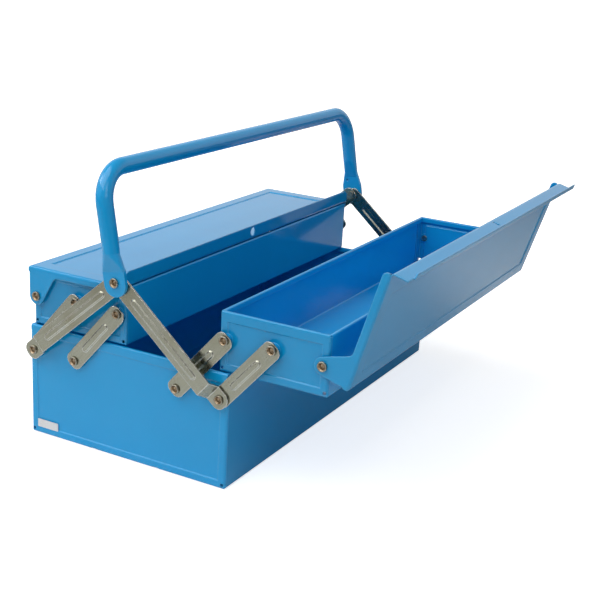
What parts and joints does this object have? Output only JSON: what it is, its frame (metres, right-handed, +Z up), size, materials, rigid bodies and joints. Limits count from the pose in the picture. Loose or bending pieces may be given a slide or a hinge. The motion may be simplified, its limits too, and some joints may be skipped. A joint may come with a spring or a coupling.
{
  "type": "cantilever tool box",
  "caption": "Sheet-steel tool box with two lidded trays that swing out sideways on link arms, and a tube carrying handle",
  "frame": {"origin": "Centre of the base's underside, on the surface it stands on", "axes": "+Z up; X along the box, +X to its right end; -Y to the tray that is swung out"},
  "size_m": [0.4398, 0.3472, 0.2536],
  "materials": {
    "blue_paint": "glossy stoved enamel on sheet steel",
    "zinc_plate": "zinc-plated pressed strip",
    "rivet_steel": "plated semi-tubular rivet"
  },
  "bodies": {
    "base": {"base_body": "blue_paint", "base_end_left": "blue_paint", "base_end_right": "blue_paint", "rear_arm_left": "zinc_plate", "rear_arm_right": "zinc_plate", "front_arm_left": "zinc_plate", "front_arm_right": "zinc_plate", "arm_rivets": "rivet_steel", "base_link_rivets": "rivet_steel", "handle_rivets": "rivet_steel"},
    "handle": {"handle": "blue_paint"},
    "rear_outer_links": {"rear_outer_link_left": "zinc_plate", "rear_outer_link_right": "zinc_plate"},
    "rear_inner_links": {"rear_inner_link_left": "zinc_plate", "rear_inner_link_right": "zinc_plate"},
    "rear_tray": {"rear_tray_body": "blue_paint", "rear_tray_end_left": "blue_paint", "rear_tray_end_right": "blue_paint", "rear_tray_rivets": "rivet_steel", "rear_lid_rivets": "rivet_steel"},
    "rear_lid": {"rear_lid": "blue_paint"},
    "front_outer_links": {"front_outer_link_left": "zinc_plate", "front_outer_link_right": "zinc_plate"},
    "front_inner_links": {"front_inner_link_left": "zinc_plate", "front_inner_link_right": "zinc_plate"},
    "front_tray": {"front_tray_body": "blue_paint", "front_tray_end_left": "blue_paint", "front_tray_end_right": "blue_paint", "front_tray_rivets": "rivet_steel", "front_lid_rivets": "rivet_steel"},
    "front_lid": {"front_lid": "blue_paint"}
  },
  "joints": [
    {"name": "handle_swing", "type": "hinge", "parent": "base", "child": "handle", "pos_m": [0, 0, 0.159], "axis": [1, 0, 0], "range_deg": [-70, 90]},
    {"name": "rear_swing", "type": "hinge", "parent": "base", "child": "rear_outer_links", "pos_m": [0, 0.0939, 0.0785], "axis": [1, 0, 0], "range_deg": [-82, 0]},
    {"name": "rear_inner_swing", "type": "hinge", "parent": "base", "child": "rear_inner_links", "pos_m": [0, 0.0515, 0.077], "axis": [1, 0, 0], "range_deg": [-82, 0]},
    {"name": "rear_tray_level", "type": "hinge", "parent": "rear_outer_links", "child": "rear_tray", "pos_m": [0, 0.04975, 0.12929], "axis": [1, 0, 0], "range_deg": [0, 82]},
    {"name": "rear_lid_hinge", "type": "hinge", "parent": "rear_tray", "child": "rear_lid", "pos_m": [0, 0.0926, 0.126], "axis": [1, 0, 0], "range_deg": [-140, 0]},
    {"name": "front_swing", "type": "hinge", "parent": "base", "child": "front_outer_links", "pos_m": [0, -0.0939, 0.0785], "axis": [1, 0, 0], "range_deg": [-82, 0]},
    {"name": "front_inner_swing", "type": "hinge", "parent": "base", "child": "front_inner_links", "pos_m": [0, -0.0515, 0.077], "axis": [1, 0, 0], "range_deg": [-82, 0]},
    {"name": "front_tray_level", "type": "hinge", "parent": "front_outer_links", "child": "front_tray", "pos_m": [0, -0.13805, 0.12929], "axis": [1, 0, 0], "range_deg": [0, 82]},
    {"name": "front_lid_hinge", "type": "hinge", "parent": "front_tray", "child": "front_lid", "pos_m": [0, -0.18091, 0.126], "axis": [1, 0, 0], "range_deg": [-106, 34]}
  ],
  "couplings": [
    {"joint": "rear_inner_swing", "follows": "rear_swing", "ratio": 1},
    {"joint": "rear_tray_level", "follows": "rear_swing", "ratio": -1},
    {"joint": "front_inner_swing", "follows": "front_swing", "ratio": 1},
    {"joint": "front_tray_level", "follows": "front_swing", "ratio": -1}
  ]
}
